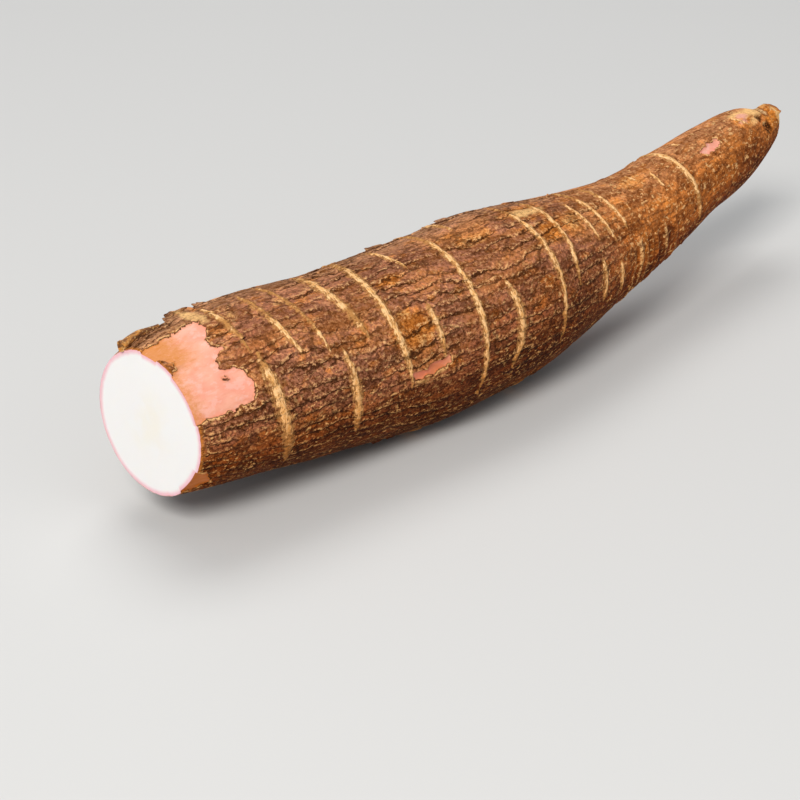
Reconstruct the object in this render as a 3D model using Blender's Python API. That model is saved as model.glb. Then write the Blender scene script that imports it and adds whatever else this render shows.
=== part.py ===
# A whole cassava root with its bark on, as it is sold: sawn across at the stem end, snapped off at the tail.
# It lies on its belly. +X runs from the cut to the tail, +Z is up, and the origin is in the middle of the
# flat spot that it rests on. A place on the skin is given by the distance along the root's middle line from
# the cut, in millimetres, and the angle round it in degrees: 0 is the top, 90 faces -Y, 180 is underneath.

import math
import random

import bmesh
import bpy
import numpy as np
from mathutils import Vector, noise

MM = 0.001

# The root's middle line and its radius, at hand-picked stations from the cut to the tail.
STATION_X = (-116, -84, -44, -1, 26, 55, 75, 92, 111, 138, 162, 178, 192, 206)
STATION_Y = (5.0, 5.6, 3.4, 0.0, -1.0, -1.4, -1.4, -0.9, 0.7, 3.3, 5.4, 6.9, 8.0, 9.2)
STATION_Z = (33.1, 32.3, 29.8, 29.5, 31.3, 32.2, 33.5, 34.4, 36.8, 41.4, 44.1, 46.4, 48.3, 49.9)
STATION_RADIUS = (22.2, 26.8, 28.4, 30.1, 29.0, 25.1, 21.6, 19.5, 17.6, 15.7, 14.6, 12.7, 9.6, 5.4)
BEYOND_CUT = 4.0  # how far the skin is drawn past the saw's plane, which then takes it off

# The tail snapped off at a slant, leaving its top side longer.
BREAK_DISTANCE = 316.5
BREAK_NORMAL = (0.95, -0.10, -0.30)
BREAK_BULGE = 0.22  # how much of the end still stands past the break's plane

# The underside is pressed flat where it lay, and the root rests there.
BELLY_FROM_X, BELLY_TO_X = -28.0, 36.0
BELLY_FADE = 26.0
BELLY_DEPTH = 1.0  # below the floor's plane, before it is made flat
BELLY_REACH = 9.0  # how far up the sides the press is felt

# Relief of the skin, out from the mean surface
LUMP_SIZE, LUMP_HEIGHT = 34.0, 1.1
RIDGE_WIDTH, RIDGE_LENGTH, RIDGE_HEIGHT = 5.6, 34.0, 0.55
SCAR_HEIGHT = 0.8
BARK_THICKNESS = 0.75

# Corky scars across the root: the distance of the first end, the middle and the last end along it, the
# angles of the two ends, and the width.
SCARS = (
    (25.5, 25.0, 24.5, -12, 38, 1.8),
    (36.5, 37.0, 40.0, -6, 52, 2.4),
    (45.0, 47.5, 50.0, -12, 57, 1.8),
    (60.5, 62.0, 66.0, -12, 52, 3.4),
    (79.0, 76.0, 79.5, -24, 88, 2.8),
    (91.5, 92.5, 94.0, -16, 18, 1.9),
    (92.0, 92.5, 93.0, 46, 78, 2.2),
    (26.0, 28.5, 33.5, 46, 124, 3.0),
    (55.0, 57.5, 59.5, 58, 112, 2.8),
    (110.5, 110.5, 108.5, -22, 113, 2.3),
    (125.0, 125.5, 121.5, 51, 106, 2.8),
    (126.0, 124.5, 124.0, -30, 2, 2.0),
    (146.0, 147.5, 145.5, -6, 106, 2.2),
    (159.0, 159.0, 156.0, -8, 73, 2.0),
    (172.5, 173.5, 174.0, 12, 51, 1.8),
    (180.0, 181.0, 182.0, -16, 58, 1.9),
    (191.0, 191.0, 191.0, -8, 53, 1.9),
    (171.5, 171.5, 171.5, 69, 83, 2.0),
    (222.5, 222.0, 221.0, 13, 34, 1.7),
    (241.0, 237.0, 234.5, -34, 98, 2.5),
    (286.0, 287.5, 289.0, 10, 30, 1.9),
)

# The far side and the underside are scarred in the same way, by lot.
FAR_SEED = 11
FAR_FIRST, FAR_LAST = 12.0, 292.0
FAR_STEP = (9.0, 15.0)
FAR_ANGLES = (138, 322)
FAR_SPAN = (34, 92)
FAR_WIDTH = (1.8, 3.0)
FAR_SLANT = 3.5

# Patches where the bark has come off the pink inner peel, as corners of (distance, angle)
PEELED_PATCHES = (
    ((-5, -8), (12, -5), (20, -5), (20, 6), (18, 12), (16, 20), (18.5, 29), (14, 34), (13.5, 41), (18, 45),
     (20, 52), (21.5, 59), (20, 66), (19, 72), (-5, 73)),
    ((80, 86), (84, 86), (90, 82), (95, 80), (95.5, 85), (91, 88), (81, 91)),
    ((253, 27), (259, 24), (265, 29), (264, 36), (257, 38), (253, 34)),
    ((-5, 116), (8, 118), (9, 130), (6, 140), (-5, 142)),
    ((66, 262), (72, 256), (84, 260), (88, 268), (79, 276), (68, 273)),
    ((148, 221), (162, 217), (170, 226), (165, 240), (152, 237)),
)

# Flakes of bark that have lifted: from and to along the root, from and to round it, and the lift
FLAKES = (
    (-5, 13, -44, -14, 2.3),
    (17, 23, -28, -13, 1.6),
    (-5, 8, 196, 212, 1.6),
)

# The skin is drawn on a fine grid and then thinned, which keeps its edges and drops its flats.
ROWS, COLUMNS = 232, 168
TRIANGLES = 10600

SKIN_COLOUR = (0.24, 0.105, 0.042)
SKIN_ROUGHNESS = 0.8


def clear_scene():
    for thing in list(bpy.data.objects):
        bpy.data.objects.remove(thing)


def skin_material():
    material = bpy.data.materials.new("cassava_skin")
    material.use_nodes = True
    shader = material.node_tree.nodes["Principled BSDF"]
    shader.inputs["Base Color"].default_value = (*SKIN_COLOUR, 1.0)
    shader.inputs["Roughness"].default_value = SKIN_ROUGHNESS
    shader.inputs["Metallic"].default_value = 0.0
    return material


def smooth_through(values, x):
    """The smooth curve through the stations' values, read at x."""
    knots = np.array(STATION_X, float)
    values = np.array(values, float)
    slopes = np.gradient(values, knots)
    i = np.clip(np.searchsorted(knots, x) - 1, 0, len(knots) - 2)
    step = knots[i + 1] - knots[i]
    t = (x - knots[i]) / step
    change = values[i + 1] - values[i]
    bend = slopes[i] * step - change
    back_bend = change - slopes[i + 1] * step
    return values[i] + t * change + t * (1 - t) * ((1 - t) * bend + t * back_bend)


def centre_at(x):
    return np.stack([x, smooth_through(STATION_Y, x), smooth_through(STATION_Z, x)], axis=-1)


def middle_line():
    """Rows of the skin: distance along the root, centre, radius, and the directions up and sideways."""
    x = np.linspace(STATION_X[0] - BEYOND_CUT, STATION_X[-1], ROWS)
    centres = centre_at(x)
    radii = smooth_through(STATION_RADIUS, x)
    steps = np.linalg.norm(np.diff(centres, axis=0), axis=1)
    distances = np.concatenate([[0.0], np.cumsum(steps)])
    distances -= np.interp(STATION_X[0], x, distances)
    tangents = np.gradient(centres, axis=0)
    tangents /= np.linalg.norm(tangents, axis=1)[:, None]
    sideways = np.cross((0.0, 0.0, 1.0), tangents)
    sideways /= np.linalg.norm(sideways, axis=1)[:, None]
    up = np.cross(tangents, sideways)
    return distances, centres, radii, up, sideways


def smooth_step(low, high, value):
    t = np.clip((value - low) / (high - low), 0.0, 1.0)
    return t * t * (3 - 2 * t)


def noise_field(places):
    """Blender's own soft noise, from -1 to 1, at each of an array of places."""
    flat = places.reshape(-1, 3)
    return np.array([noise.noise(Vector(place)) for place in flat]).reshape(places.shape[:-1])


def lumps(points):
    return LUMP_HEIGHT * noise_field(points / LUMP_SIZE + 7.0)


def bark_ridges(distance, angle, radius):
    """Low wandering ridges that run along the root, as the bark splits when the root swells."""
    across = radius / RIDGE_WIDTH
    places = np.stack([distance / RIDGE_LENGTH, np.cos(angle) * across, np.sin(angle) * across], axis=-1)
    return RIDGE_HEIGHT * (0.5 - 2.2 * np.abs(noise_field(places)))


def all_scars():
    scars = list(SCARS)
    draw = random.Random(FAR_SEED)
    distance = FAR_FIRST
    while distance < FAR_LAST:
        span = draw.uniform(*FAR_SPAN)
        start = draw.uniform(FAR_ANGLES[0], FAR_ANGLES[1] - span)
        slant = draw.uniform(-FAR_SLANT, FAR_SLANT)
        middle = distance + draw.uniform(-1, 1)
        scars.append((distance, middle, distance + slant, start, start + span, draw.uniform(*FAR_WIDTH)))
        distance += draw.uniform(*FAR_STEP)
    return scars


def scar_welts(distance, degrees):
    """Raised corky welts, highest along their middle and fading at both ends."""
    height = np.zeros_like(distance)
    for first, middle, last, start, end, width in all_scars():
        t = ((degrees - start) % 360) / (end - start)
        inside = t <= 1
        t = np.minimum(t, 1)
        line = first * (1 - t) * (1 - 2 * t) + 4 * middle * t * (1 - t) + last * t * (2 * t - 1)
        taper = np.sqrt(np.clip(4 * t * (1 - t), 0, 1))
        ridge = np.exp(-(((distance - line) / (0.55 * width)) ** 2)) * taper
        height = np.maximum(height, np.where(inside, ridge, 0.0))
    return SCAR_HEIGHT * height


def inside_patch(distance, degrees, radius, corners):
    """How deep a place lies inside a patch's outline, in millimetres: negative outside it."""
    middle = np.mean([corner[1] for corner in corners])
    turned = (degrees - middle + 180) % 360 - 180
    arc = np.radians(turned) * radius
    inside = np.zeros(distance.shape, bool)
    nearest = np.full(distance.shape, np.inf)
    for (s0, a0), (s1, a1) in zip(corners, corners[1:] + corners[:1]):
        y0, y1 = np.radians(a0 - middle) * radius, np.radians(a1 - middle) * radius
        crosses = (y0 > arc) != (y1 > arc)
        span = np.where(np.abs(y1 - y0) < 1e-9, 1e-9, y1 - y0)
        inside ^= crosses & (distance < s0 + (arc - y0) * (s1 - s0) / span)
        along = (distance - s0) * (s1 - s0) + (arc - y0) * (y1 - y0)
        t = np.clip(along / ((s1 - s0) ** 2 + (y1 - y0) ** 2), 0, 1)
        nearest = np.minimum(nearest, np.hypot(distance - s0 - t * (s1 - s0), arc - y0 - t * (y1 - y0)))
    return np.where(inside, nearest, -nearest)


def peeled(distance, degrees, radius):
    """1 where the bark has come off, 0 where it is whole."""
    bare = np.zeros_like(distance)
    for corners in PEELED_PATCHES:
        bare = np.maximum(bare, smooth_step(-0.4, 0.5, inside_patch(distance, degrees, radius, corners)))
    return bare


def flake_lift(distance, degrees):
    """Flakes stand up from one long edge, which is steep, and run back into the skin at the other."""
    height = np.zeros_like(distance)
    for first, last, start, end, lift in FLAKES:
        across = ((degrees - start) % 360) / (end - start)
        over = smooth_step(0.0, 0.45, across) * (1 - smooth_step(0.85, 1.05, across))
        along = smooth_step(first - 1, first + 2, distance) * (1 - smooth_step(last - 3, last, distance))
        height = np.maximum(height, lift * over * along)
    return height


def snap_tail(points, distances, centres):
    """Press what lies past the break's slanting plane back onto it, but for a rough bulge."""
    normal = np.array(BREAK_NORMAL)
    normal /= np.linalg.norm(normal)
    origin = np.array([np.interp(BREAK_DISTANCE, distances, centres[:, k]) for k in range(3)])
    past = np.clip((points - origin) @ normal, 0, None)
    return points - ((1 - BREAK_BULGE) * past)[..., None] * normal


def press_belly(points):
    """Bring the underside to just below the floor's plane over the stretch where the root lay on it."""
    x, z = points[..., 0], points[..., 2]
    here = smooth_step(BELLY_FROM_X - BELLY_FADE, BELLY_FROM_X, x)
    here *= 1 - smooth_step(BELLY_TO_X, BELLY_TO_X + BELLY_FADE, x)
    lowest = z.min(axis=1, keepdims=True)
    near = 1 - smooth_step(0.0, BELLY_REACH, z - lowest)
    points[..., 2] = z - (lowest + BELLY_DEPTH) * here * near
    return points


def skin_points():
    distances, centres, radii, up, sideways = middle_line()
    angles = np.linspace(0, 2 * math.pi, COLUMNS, endpoint=False)
    distance, angle = np.meshgrid(distances, angles, indexing="ij")
    radius = np.repeat(radii[:, None], COLUMNS, axis=1)
    degrees = np.degrees(angle)
    outward = np.cos(angle)[..., None] * up[:, None] - np.sin(angle)[..., None] * sideways[:, None]
    points = centres[:, None] + radius[..., None] * outward

    bark = 1 - peeled(distance, degrees, radius)
    scars = scar_welts(distance, degrees)
    relief = lumps(points) + bark * (bark_ridges(distance, angle, radius) + scars)
    relief += bark * BARK_THICKNESS + flake_lift(distance, degrees) - BARK_THICKNESS
    points = points + relief[..., None] * outward
    return press_belly(snap_tail(points, distances, centres))


def draw_skin(bm, points):
    rings = [[bm.verts.new(place * MM) for place in row] for row in points]
    for ring, after in zip(rings, rings[1:]):
        for i in range(COLUMNS):
            j = (i + 1) % COLUMNS
            bm.faces.new((ring[i], ring[j], after[j], after[i]))
    for ring, row in ((rings[0], points[0]), (rings[-1], points[-1])):
        middle = bm.verts.new(row.mean(axis=0) * MM)
        for i in range(COLUMNS):
            bm.faces.new((ring[i], ring[(i + 1) % COLUMNS], middle))
    bmesh.ops.recalc_face_normals(bm, faces=bm.faces)


def thinned(mesh):
    """The same skin in about TRIANGLES faces."""
    carrier = bpy.data.objects.new("thinning", mesh)
    bpy.context.collection.objects.link(carrier)
    modifier = carrier.modifiers.new("thin", "DECIMATE")
    modifier.ratio = TRIANGLES / (2 * (ROWS - 1) * COLUMNS + 2 * COLUMNS)
    depsgraph = bpy.context.evaluated_depsgraph_get()
    result = bpy.data.meshes.new_from_object(carrier.evaluated_get(depsgraph))
    bpy.data.objects.remove(carrier)
    return result


def slice_flat(bm, place, outward):
    """Cut off what lies past a plane, and close the cut with a flat face."""
    everything = bm.verts[:] + bm.edges[:] + bm.faces[:]
    bmesh.ops.bisect_plane(bm, geom=everything, plane_co=place, plane_no=outward, clear_outer=True)
    rim = [edge for edge in bm.edges if edge.is_boundary]
    bmesh.ops.holes_fill(bm, edges=rim, sides=0)


def cassava_root():
    mesh = bpy.data.meshes.new("cassava_root")
    bm = bmesh.new()
    draw_skin(bm, skin_points())
    bm.to_mesh(mesh)
    bm.clear()

    bm.from_mesh(thinned(mesh))
    cut = centre_at(np.array(STATION_X[0], float))
    beyond = centre_at(np.array(STATION_X[0] - 1.0))
    slice_flat(bm, Vector(cut * MM), Vector(beyond - cut).normalized())
    slice_flat(bm, Vector((0, 0, 0)), Vector((0, 0, -1)))
    bmesh.ops.triangulate(bm, faces=bm.faces)
    bm.to_mesh(mesh)
    bm.free()

    mesh.shade_smooth()
    mesh.set_sharp_from_angle(angle=math.radians(50))
    mesh.materials.append(skin_material())
    root = bpy.data.objects.new("cassava_root", mesh)
    bpy.context.collection.objects.link(root)
    return root


clear_scene()
cassava_root()
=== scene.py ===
import math
import random
from types import SimpleNamespace

import bpy
import numpy as np
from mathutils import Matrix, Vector, noise


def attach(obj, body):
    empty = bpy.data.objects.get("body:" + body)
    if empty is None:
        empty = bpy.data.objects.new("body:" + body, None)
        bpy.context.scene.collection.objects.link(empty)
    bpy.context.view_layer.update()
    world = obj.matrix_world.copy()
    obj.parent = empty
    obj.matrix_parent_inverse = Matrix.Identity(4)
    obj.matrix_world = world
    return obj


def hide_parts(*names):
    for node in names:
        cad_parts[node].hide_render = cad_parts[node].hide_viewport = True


# A cassava root lying on its belly, with its sawn end towards -X and its snapped tail towards +X.
# Distances in the dictionaries are millimetres and angles are degrees. A place on the skin is given by
# "along", the distance from the cut down the root's middle line, and "round", the angle round it:
# 0 is the top, 90 faces -Y and 180 is underneath.

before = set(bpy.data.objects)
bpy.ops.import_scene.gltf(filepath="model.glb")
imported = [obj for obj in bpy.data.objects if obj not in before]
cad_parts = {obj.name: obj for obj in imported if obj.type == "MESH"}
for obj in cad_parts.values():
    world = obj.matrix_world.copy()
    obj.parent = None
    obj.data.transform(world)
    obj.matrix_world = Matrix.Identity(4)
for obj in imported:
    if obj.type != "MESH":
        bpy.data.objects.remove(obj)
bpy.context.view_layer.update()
mm = 0.001

root = {
    "node": "cassava_root",
    "name": "cassava_whole_root",
    # middle line and radius, from the cut to past the tail
    "x": (-116, -84, -44, -1, 26, 55, 75, 92, 111, 138, 162, 178, 192, 206),
    "y": (5.0, 5.6, 3.4, 0.0, -1.0, -1.4, -1.4, -0.9, 0.7, 3.3, 5.4, 6.9, 8.0, 9.2),
    "z": (33.1, 32.3, 29.8, 29.5, 31.3, 32.2, 33.5, 34.4, 36.8, 41.4, 44.1, 46.4, 48.3, 49.9),
    "radius": (22.2, 26.8, 28.4, 30.1, 29.0, 25.1, 21.6, 19.5, 17.6, 15.7, 14.6, 12.7, 9.6, 5.4),
    "sides": 24,
    "ringGap": 7.4,
    "cutRings": (1.6, 5.5, 5.5),  # widths of the inset rings, of which the first holds the cut's edge crisp
    "snapAt": 316.5,
    "snapFacing": (0.95, -0.10, -0.30),
    "snapRings": ((1.1, 0.5), (1.3, 0.4)),  # width of each, and how far it stands out
    "fineness": 4,  # subdivision levels
    "triangles": 186000,
    "sliceDepth": 0.06,
    # rings of the sawn face: share of its radius, and how much each sinks below the one outside it
    "sawnRings": ((0.985, 0.0), (0.965, 0.04), (0.94, 0.04), (0.91, 0.0), (0.86, 0.0), (0.7, 0.0),
                  (0.4, 0.0)),
    "smoothAngle": 60,
}

bark = {
    "cracks": 46,  # long cracks counted round the root
    "wander": (1.15, 0.36),  # cracks' slow and quick waver, in crack gaps
    "bodyStep": 0.50,  # height of a flake's edge on the thick body
    "tailStep": 0.13,
    "tailFrom": 148,
    "tailTo": 208,
    "crumbs": 0.11,
    "thickness": 0.70,  # bark above the pink inner peel
    "tear": 1.15,  # how far the torn edge of the bark wanders
    "tearSlope": 0.22,  # half the width over which that edge comes down
    "trimmed": 3.0,  # behind the saw's edge the bark lies flatter
    "scarHeight": 0.45,
    "pitDepth": 0.9,
    # creases across the root, on the lower side of its waist
    "foldHeight": 1.15,
    "foldAlong": (178, 192, 212, 232),  # where they come in and go out
    "foldRound": (52, 82, 150, 175),
    "snapFrom": (300.0, 308.0),
    "snapFace": (0.72, 0.94),  # share of the radius over which the snapped face turns into skin
    "fibres": 0.55,
    "snapFlare": (312.0, 316.5, 0.2),  # from, to, how much the torn end stands out
    # a tooth left on at the snapped end
    "toothRound": (20, 40),  # middle and half width
    "toothFrom": (309.0, 316.0),
    "toothFacing": (0.96, -0.05, -0.28),
    "toothReach": 3.3,
    "tipDip": (301.0, 310.0, 1.5),  # from, to, how far the skin sinks above the tooth
    "dipRound": (-14, 80),
    # patterns in the relief: size lengthwise and crosswise, and where in the noise each one is read
    "grain": {
        "slow": ((46, 15, 15), 3.0),
        "quick": ((8, 4.5, 4.5), 11.0),
        "gather": ((26, 8, 8), 29.0),  # where cracks open and where they close up
        "fine": ((2.6, 1.6, 1.6), 41.0),
        "ragged": ((2.3, 2.3, 2.3), 53.0),
        "torn": ((1.1, 1.1, 1.1), 59.0),
        "crease": ((2.7, 30, 30), 83.0),
    },
    # what the finish reads at each point of the skin
    "fields": ("along", "around", "body", "open", "scar", "glow", "peel", "pale", "cream", "orange", "dark",
               "pink", "red", "dirt", "fold", "snapped"),
}

# corky scars: along at the first end, the middle and the last end, round at both ends, width,
# and the stretch of round where the cork is pale and bright
scars = [
    (25.5, 25.0, 24.5, -12, 38, 1.7, -12, 6),
    (36.5, 37.0, 40.0, -6, 52, 2.1, 26, 50),
    (45.0, 47.5, 50.0, -12, 57, 1.5, 42, 57),
    (60.5, 62.0, 66.0, -12, 52, 3.4, 2, 30),
    (79.0, 76.0, 79.5, -24, 88, 2.7, 2, 88),
    (91.5, 92.5, 94.0, -16, 18, 1.8, -6, 10),
    (92.0, 92.5, 93.0, 46, 78, 2.2, 57, 70),
    (26.0, 28.5, 33.5, 46, 124, 3.7, 56, 97),
    (55.0, 57.5, 59.5, 58, 112, 2.8, 60, 101),
    (110.5, 110.5, 108.5, -22, 113, 2.1, 6, 100),
    (125.0, 125.5, 121.5, 51, 106, 2.8, 52, 96),
    (126.0, 124.5, 124.0, -30, 2, 1.8, -30, -16),
    (146.0, 147.5, 145.5, -6, 106, 2.0, 10, 84),
    (159.0, 159.0, 156.0, -8, 73, 1.8, 6, 56),
    (172.5, 173.5, 174.0, 12, 51, 1.6, 18, 50),
    (180.0, 181.0, 182.0, -16, 58, 1.7, 12, 57),
    (191.0, 191.0, 191.0, -8, 53, 1.7, 18, 46),
    (171.5, 171.5, 170.5, 67, 100, 2.2, 70, 90),
    (225.5, 225.0, 224.5, 13, 35, 1.4, 14, 33),
    (241.5, 240.5, 238.5, -34, 98, 2.8, -16, 66),
    (216.0, 216.0, 216.5, -2, 12, 1.2, -2, 12),
    (182.0, 182.5, 182.5, 77, 104, 1.9, 80, 98),
    (252.5, 252.5, 252.5, -12, 0, 1.1, -12, 0),
    (286.5, 288.5, 290.0, 9, 33, 1.7, 11, 31),
]

# the far side and the underside are scarred in the same way, by lot
farScars = {
    "seed": 11,
    "first": 12.0,
    "last": 292.0,
    "step": (9.0, 15.0),
    "round": (138, 322),
    "span": (34, 92),
    "width": (1.8, 3.0),
    "slant": 3.5,
    "bright": (8, 0.7),  # degrees after its start, and share of its span, between which a scar is bright
}

# places where the bark has come off the pink inner peel: corners of (along, round)
peeledPatches = [
    [(-5, -8), (12, -5), (20, -5), (20, 6), (18, 12), (16, 20), (18.5, 29), (14, 34), (13.5, 41), (18, 45),
     (20, 52), (21.5, 59), (20, 66), (19, 72), (-5, 73)],
    [(80, 86), (84, 86), (90, 82), (95, 80), (95.5, 85), (91, 88), (81, 91)],
    [(256, 28), (260, 23), (268, 24), (269.5, 32), (263, 38), (257, 38)],
    [(-5, 113), (1.6, 114), (3.2, 119), (5.6, 124), (7.2, 132), (4.4, 136), (3.4, 143), (-5, 147)],
    [(66, 262), (72, 256), (84, 260), (88, 268), (79, 276), (68, 273)],
    [(148, 221), (162, 217), (170, 226), (165, 240), (152, 237)],
]

# scraps of bark left inside a peeled patch
barkScraps = [
    [(-5, 12), (1.6, 13), (2.6, 17), (4.4, 20), (3.6, 24), (2.2, 28), (-5, 30)],
    [(13.2, 49), (14.8, 48), (15.0, 51), (13.6, 52)],
]

# marks on the skin, by kind: along, round, half length, half width in degrees, strength
marks = {
    "pale": [(168, 30, 5, 7, 0.9), (86, 65, 2.6, 3, 1.0), (82, 48, 2.4, 3, 0.8), (126, 17, 7, 4, 0.5),
             (45, 12, 2.2, 3.5, 1.0), (27, 9, 3, 5, 0.7), (214, 8, 6, 9, 0.5)],
    "cream": [(154, 8, 7.5, 5.5, 0.95), (21.5, -11, 2.0, 14, 0.8), (84, 92, 3, 1.0, 0.6),
              (91, 89, 3, 1.0, 0.6), (292, 5, 6, 7, 0.9), (302, 10, 8, 18, 1.0), (297, 34, 5, 8, 0.8),
              (301.5, 49, 1.4, 4, 1.0), (315.5, 60, 2.0, 60, 0.9), (314, -10, 3, 25, 0.8)],
    "orange": [(154, 7, 11, 12, 0.7), (166, 30, 8, 12, 0.6), (84, 57, 8, 13, 0.9), (85, 23, 6, 5, 0.9),
               (155, 31, 7, 9, 0.9), (126, 17, 9, 5, 0.5), (214, 8, 9, 13, 0.6), (200, 88, 8, 14, 0.7),
               (3, 128, 7, 17, 0.8), (292, 20, 8, 18, 0.9), (311, 20, 8, 70, 1.0)],
    "dark": [(300.5, 37, 2.4, 10, 1.0), (302.5, 60, 3.4, 15, 1.0)],
    "pink": [(292.5, 13, 3.4, 8, 1.0), (290, 25, 2.6, 6, 0.9)],
    "red": [(87, 85, 9, 7, 0.9)],
    # patches of painted shadow
    "dirt": [(146, 88, 54, 44, 0.6), (27, 38, 9, 17, 0.4), (284, 82, 18, 30, 0.45)],
}

unwrap = {
    "length": 325.0,  # along, as far as the map's right edge
    "margin": 0.004,
    "turn": 400.0,  # degrees round, as far as the strip's top edge
    "strip": 0.83,  # share of the map's height that the skin takes
    "discCentre": (0.085, 0.915),
    "discScale": 300.0,  # mm of the cut to the map's width
    "sawnWithin": 0.2,  # how far behind the saw's plane a face may lie and still be sawn flesh
    "sawnFacing": 0.8,  # and how squarely it has to face along the cut
}


def deselectAll():
    if bpy.context.object and bpy.context.object.mode != "OBJECT":
        bpy.ops.object.mode_set(mode="OBJECT")
    bpy.ops.object.select_all(action="DESELECT")


def editAll():
    bpy.ops.object.mode_set(mode="EDIT")
    bpy.ops.mesh.select_all(action="SELECT")


def leaveEdit():
    bpy.ops.mesh.select_all(action="DESELECT")
    bpy.ops.object.mode_set(mode="OBJECT")


def leaveFacingOut():
    bpy.ops.mesh.select_all(action="SELECT")
    bpy.ops.mesh.normals_make_consistent(inside=False)
    bpy.ops.object.mode_set(mode="OBJECT")


def applyModifier(piece, kind, **settings):
    modifier = piece.modifiers.new(kind.lower(), kind)
    for key, value in settings.items():
        setattr(modifier, key, value)
    bpy.ops.object.modifier_apply(modifier=modifier.name)


def smoothThrough(values, x):
    # the smooth curve through the root's listed values, read at x
    knots = np.array(root["x"], float)
    values = np.array(values, float)
    slopes = np.gradient(values, knots)
    i = np.clip(np.searchsorted(knots, x) - 1, 0, len(knots) - 2)
    step = knots[i + 1] - knots[i]
    t = (x - knots[i]) / step
    change = values[i + 1] - values[i]
    bend = slopes[i] * step - change
    backBend = change - slopes[i + 1] * step
    return values[i] + t * change + t * (1 - t) * ((1 - t) * bend + t * backBend)


# the middle line, finely sampled from a little before the cut to a little past the tail
lineX = np.linspace(root["x"][0] - 6, root["x"][-1] + 6, 660)
lineCentre = np.stack([lineX, smoothThrough(root["y"], lineX), smoothThrough(root["z"], lineX)], axis=1)
lineRadius = smoothThrough(root["radius"], lineX)
lineAhead = np.gradient(lineCentre, axis=0)
lineAhead /= np.linalg.norm(lineAhead, axis=1)[:, None]
lineSide = np.cross((0.0, 0.0, 1.0), lineAhead)
lineSide /= np.linalg.norm(lineSide, axis=1)[:, None]
lineUp = np.cross(lineAhead, lineSide)
lineAlong = np.concatenate([[0.0], np.cumsum(np.linalg.norm(np.diff(lineCentre, axis=0), axis=1))])
lineAlong -= np.interp(root["x"][0], lineX, lineAlong)


def readLine(table, x):
    if table.ndim == 1:
        return np.interp(x, lineX, table)
    return np.stack([np.interp(x, lineX, table[:, k]) for k in range(3)], axis=1)


def placeOnRoot(points):
    # along and round of each point, its distance from the middle line, and which way is outwards
    x = points[:, 0].copy()
    for _ in range(4):
        ahead = readLine(lineAhead, x)
        x += ((points - readLine(lineCentre, x)) * ahead).sum(axis=1) * ahead[:, 0]
    away = points - readLine(lineCentre, x)
    ahead = readLine(lineAhead, x)
    away -= (away * ahead).sum(axis=1)[:, None] * ahead
    reach = np.linalg.norm(away, axis=1)
    up = (away * readLine(lineUp, x)).sum(axis=1)
    side = -(away * readLine(lineSide, x)).sum(axis=1)
    outward = away / np.maximum(reach, 0.01)[:, None]
    return readLine(lineAlong, x), np.degrees(np.arctan2(side, up)), reach, outward, readLine(lineRadius, x)


def smoothStep(low, high, value):
    t = np.clip((value - low) / (high - low), 0.0, 1.0)
    return t * t * (3 - 2 * t)


def halfTurn(angle):
    # the same angle between -180 and 180
    return (angle + 180) % 360 - 180


def straightened(along, around, radius):
    # the root as a straight rod, so that a pattern can run lengthwise and close up round it
    turn = np.radians(around)
    return np.stack([along, np.cos(turn) * radius, np.sin(turn) * radius], axis=1)


def wobble(x, y, z):
    return noise.noise(Vector((x, y, z)))


def noiseAt(places, stretch, shift):
    return np.array([wobble(*place) for place in places / np.array(stretch, float) + shift])


def allScars():
    every = list(scars)
    draw = random.Random(farScars["seed"])
    brightAfter, brightShare = farScars["bright"]
    along = farScars["first"]
    while along < farScars["last"]:
        span = draw.uniform(*farScars["span"])
        start = draw.uniform(farScars["round"][0], farScars["round"][1] - span)
        slant = draw.uniform(-farScars["slant"], farScars["slant"])
        middle = along + draw.uniform(-1, 1)
        width = draw.uniform(*farScars["width"])
        every.append((along, middle, along + slant, start, start + span, width,
                      start + brightAfter, start + brightShare * span))
        along += draw.uniform(*farScars["step"])
    return every


def scarField(along, around, waver):
    # 1 in the middle of a scar, 0 at its edge and below 0 outside; and how bright its cork is
    outside = -1.5
    lead = 8  # degrees before a scar's first end from which its angles are counted
    depth = np.full(along.shape, outside)
    bright = np.zeros(along.shape)
    for first, middle, last, start, end, width, brightFrom, brightTo in allScars():
        turned = (around - start + lead) % 360 - lead
        t = turned / (end - start)
        near = (t > -0.05) & (t < 1.05)
        t = np.clip(t, 0, 1)
        line = first * (1 - t) * (1 - 2 * t) + 4 * middle * t * (1 - t) + last * t * (2 * t - 1)
        half = 0.50 * width * (0.25 + 0.85 * np.sqrt(np.clip(4 * t * (1 - t), 0, 1)))
        here = np.where(near, 1 - np.abs(along + 0.5 * waver - line) / half, outside)
        turned = turned + start
        glow = smoothStep(brightFrom - 5, brightFrom + 3, turned)
        glow *= 1 - smoothStep(brightTo - 3, brightTo + 5, turned)
        bright = np.where(here > depth, glow, bright)
        depth = np.maximum(depth, here)
    return np.clip(depth, outside, 1), bright


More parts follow.
